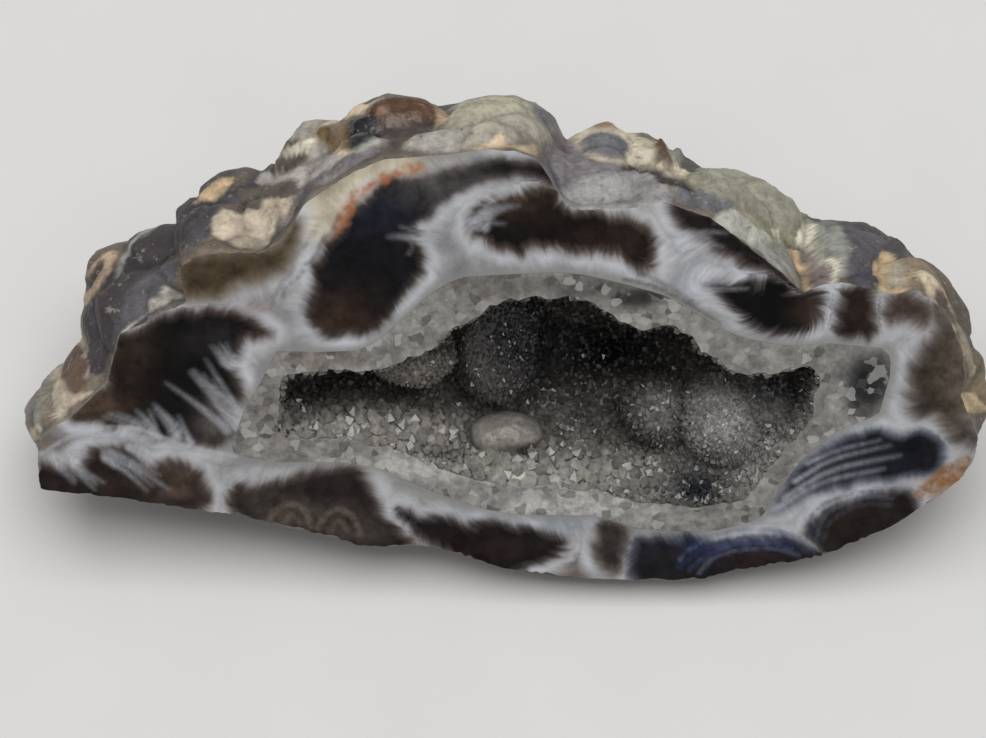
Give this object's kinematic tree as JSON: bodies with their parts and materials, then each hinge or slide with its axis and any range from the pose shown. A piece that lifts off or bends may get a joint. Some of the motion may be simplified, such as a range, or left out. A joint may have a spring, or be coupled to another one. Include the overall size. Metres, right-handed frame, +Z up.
{
  "type": "agate geode half",
  "caption": "Half of a small agate geode: a lobed natural rind, a flat sawn and polished face, and a hollow lined with quartz crystals.",
  "frame": {"origin": "the middle of the footprint's box, on the surface that the stone rests on", "axes": "+X along the sawn face's length, to the right as one looks at the face; +Y away from the viewer, into the stone; +Z up"},
  "size_m": [0.0953, 0.0435, 0.0406],
  "materials": {
    "agate": "polished on the sawn face, dull and rough on the rind",
    "quartz": "clear to grey crystal points with small glints, sawn flat round the mouth"
  },
  "bodies": {
    "root": {"agate_shell": "agate", "quartz_crust": "quartz"}
  },
  "joints": []
}
